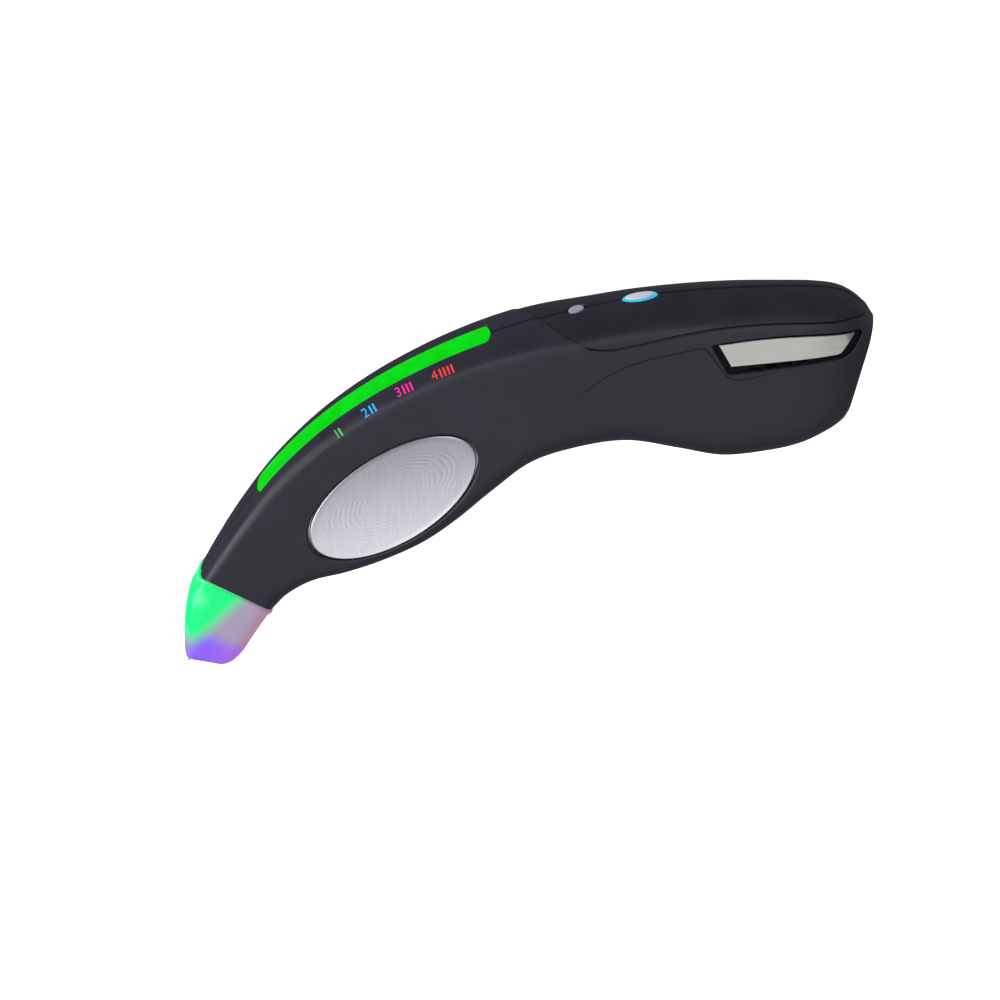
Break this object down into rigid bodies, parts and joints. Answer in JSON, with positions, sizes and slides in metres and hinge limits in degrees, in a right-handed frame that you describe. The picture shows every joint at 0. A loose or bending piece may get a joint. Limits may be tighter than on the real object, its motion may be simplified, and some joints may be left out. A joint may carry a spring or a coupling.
{
  "type": "hand-held diamond tester",
  "caption": "Curved hand-held diamond tester with a lit nose and sprung probe, a light bar along the crest, oval touch plates and cells in the handle.",
  "frame": {"origin": "on the flat of the right side that the tester lies on, under the middle of the housing", "axes": "+X along the handle to the rear, +Y to the crest with the light bar, +Z out of the left side"},
  "size_m": [0.1725, 0.1043, 0.029],
  "materials": {
    "shell": "fine satin, charcoal black",
    "cover": "smooth satin black",
    "button": "satin grey",
    "light_bar": "translucent, lit green",
    "lit_ring": "translucent, lit blue",
    "nose": "frosted translucent, lit green and violet",
    "plate": "fine brushed",
    "name_plate": "satin",
    "cap": "bright",
    "board": "laminate",
    "dark_part": "moulded",
    "holder": "natural",
    "lamp": "clear, tinted green",
    "violet_lamp": "clear, tinted violet",
    "brass": "plain",
    "probe": "copper-coloured, polished",
    "steel": "plain",
    "nickel": "nickel plated",
    "cell_wrap": "printed film"
  },
  "bodies": {
    "housing": {"bar_lamp_1": "lamp", "bar_lamp_2": "lamp", "bar_lamp_3": "lamp", "bar_lamp_4": "lamp", "bar_lamp_5": "lamp", "bar_lamp_6": "lamp", "battery_tray": "dark_part", "button_board": "board", "case_screw_1": "steel", "case_screw_2": "steel", "case_screw_3": "steel", "case_screw_4": "steel", "case_screw_5": "steel", "cell_1": "cell_wrap", "cell_2": "cell_wrap", "cell_3": "cell_wrap", "cell_4": "cell_wrap", "controller_chip": "dark_part", "flat_contact_1": "nickel", "flat_contact_2": "nickel", "flat_contact_3": "nickel", "flat_contact_4": "nickel", "indicator_bar": "light_bar", "led_strip": "board", "left_shell": "shell", "light_switch": "dark_part", "main_board": "board", "name_plate_left": "name_plate", "name_plate_right": "name_plate", "nose_board": "board", "nose_cone": "nose", "plate_contact_left": "brass", "plate_contact_right": "brass", "power_ring": "lit_ring", "power_switch": "dark_part", "probe_barrel": "brass", "probe_holder": "holder", "probe_spring": "steel", "right_shell": "shell", "sounder": "dark_part", "spring_contact_1": "nickel", "spring_contact_2": "nickel", "spring_contact_3": "nickel", "spring_contact_4": "nickel", "status_lamp": "lamp", "top_cover": "cover", "touch_plate_left": "plate", "touch_plate_right": "plate", "uv_lamp": "violet_lamp"},
    "power_button": {"power_button": "cap"},
    "light_button": {"light_button": "button"},
    "probe_tip": {"probe_tip": "probe"},
    "battery_door": {"battery_door": "shell"}
  },
  "joints": [
    {"name": "power_press", "type": "slide", "parent": "housing", "child": "power_button", "axis": [0.168, -0.9858, 0], "range_m": [0, 0.0005], "stiffness_N_per_m": 600, "springref_m": -0.0005},
    {"name": "light_press", "type": "slide", "parent": "housing", "child": "light_button", "axis": [0.2477, -0.9688, 0], "range_m": [0, 0.0004], "stiffness_N_per_m": 600, "springref_m": -0.0005},
    {"name": "probe_press", "type": "slide", "parent": "housing", "child": "probe_tip", "axis": [0.4483, 0.8939, 0], "range_m": [0, 0.0012], "stiffness_N_per_m": 300, "springref_m": -0.001, "deforming": ["probe_spring"]},
    {"name": "door_swing", "type": "hinge", "parent": "housing", "child": "battery_door", "pos_m": [-0.0118, -0.0133, 0.0145], "axis": [0, 0, -1], "range_deg": [0, 70]}
  ]
}
